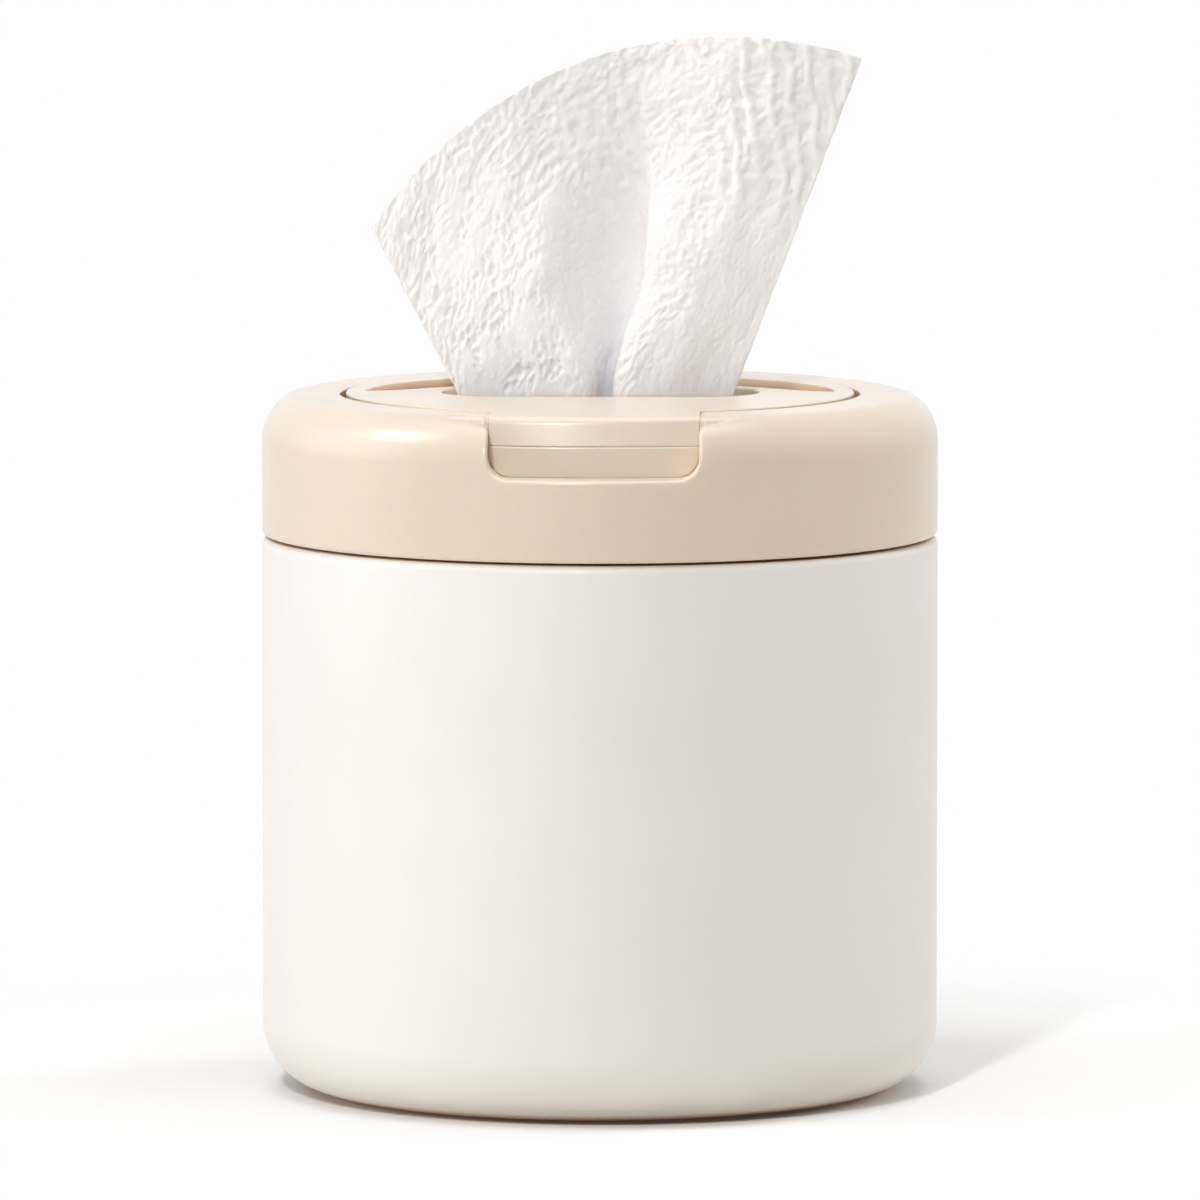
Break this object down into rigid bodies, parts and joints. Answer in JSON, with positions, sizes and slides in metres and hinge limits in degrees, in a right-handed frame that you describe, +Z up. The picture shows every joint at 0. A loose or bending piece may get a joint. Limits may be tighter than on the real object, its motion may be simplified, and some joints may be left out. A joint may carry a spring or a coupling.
{
  "type": "wipes dispenser",
  "caption": "Round countertop canister for wipes with a push-fit lid, a flip-up slotted panel, a front release button and a roll of centre-pull wipes, with one wipe drawn up ready to take.",
  "frame": {"origin": "the middle of the underside, on the surface that the foot ring stands on", "axes": "+Z is up, along the canister's axis; the finger notch, tab and button face -Y; +X is to the right as seen from the front"},
  "size_m": [0.16, 0.16, 0.25],
  "materials": {
    "canister_plastic": "satin off-white",
    "lid_plastic": "satin beige",
    "inner_plastic": "satin beige",
    "seal_silicone": "matte, soft",
    "foot_silicone": "matte, soft",
    "wipe_nonwoven": "white embossed nonwoven",
    "steel": "bright steel"
  },
  "bodies": {
    "canister": {"canister_shell": "canister_plastic", "foot_ring": "foot_silicone", "lid_gasket": "seal_silicone", "wipes_roll": "wipe_nonwoven", "next_wipe": "wipe_nonwoven"},
    "lid": {"lid_shell": "lid_plastic", "lid_frame": "inner_plastic", "hinge_pin": "steel", "hinge_spring": "steel", "button_spring_1": "steel", "button_spring_2": "steel", "frame_screw_1": "steel", "frame_screw_2": "steel", "frame_screw_3": "steel", "frame_screw_4": "steel"},
    "panel": {"flip_panel": "lid_plastic", "panel_seal": "seal_silicone", "wipe_membrane": "seal_silicone", "membrane_retainer": "inner_plastic", "retainer_screw_1": "steel", "retainer_screw_2": "steel", "retainer_screw_3": "steel", "retainer_screw_4": "steel", "wipe_sheet": "wipe_nonwoven"},
    "button": {"release_button": "lid_plastic"}
  },
  "joints": [
    {"name": "lid_lift", "type": "slide", "parent": "canister", "child": "lid", "axis": [0, 0, 1], "range_m": [0, 0.06]},
    {"name": "panel_hinge", "type": "hinge", "parent": "lid", "child": "panel", "pos_m": [0, 0.0645, 0.1627], "axis": [-1, 0, 0], "range_deg": [0, 100]},
    {"name": "button_press", "type": "slide", "parent": "lid", "child": "button", "axis": [0, 1, 0], "range_m": [0, 0.0025], "stiffness_N_per_m": 600}
  ]
}
